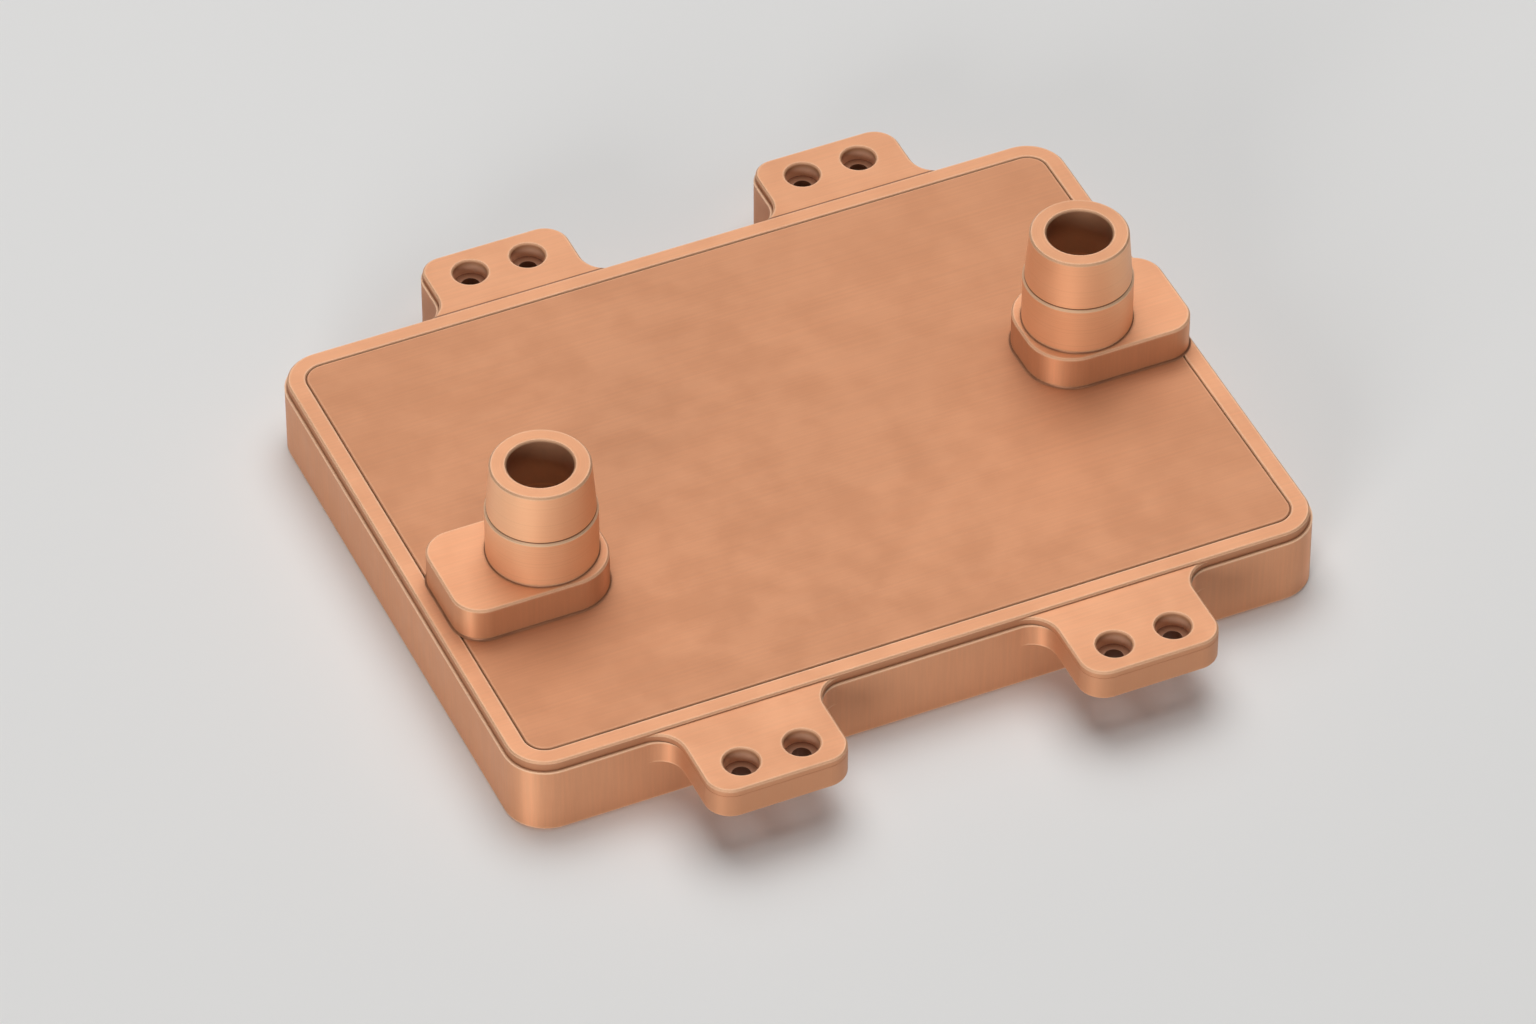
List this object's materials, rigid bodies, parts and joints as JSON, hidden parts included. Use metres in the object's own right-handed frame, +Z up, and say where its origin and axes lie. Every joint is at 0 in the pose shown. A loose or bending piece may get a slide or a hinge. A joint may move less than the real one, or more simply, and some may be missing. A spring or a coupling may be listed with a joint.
{
  "type": "liquid cold plate",
  "caption": "Brazed copper liquid cold plate: a milled tray with screw ears, a flush cover over a finned coolant chamber, and an upright hose stub on a low port block near each end.",
  "frame": {"origin": "middle of the flat contact face on the underside", "axes": "+X along the long sides towards the outlet, +Y towards the back pair of ears, +Z up through the cover plate and along the hose stubs"},
  "size_m": [0.098, 0.0939, 0.0271],
  "materials": {
    "milled_copper": "satin",
    "cover_copper": "satin",
    "fin_copper": "satin",
    "block_copper": "satin",
    "turned_copper": "satin"
  },
  "bodies": {
    "root": {"body": "milled_copper", "cover_plate": "cover_copper", "fin_strip_1": "fin_copper", "fin_strip_2": "fin_copper", "fin_strip_3": "fin_copper", "fin_strip_4": "fin_copper", "fin_strip_5": "fin_copper", "fin_strip_6": "fin_copper", "inlet_block": "block_copper", "outlet_block": "block_copper", "inlet_stub": "turned_copper", "outlet_stub": "turned_copper"}
  },
  "joints": []
}
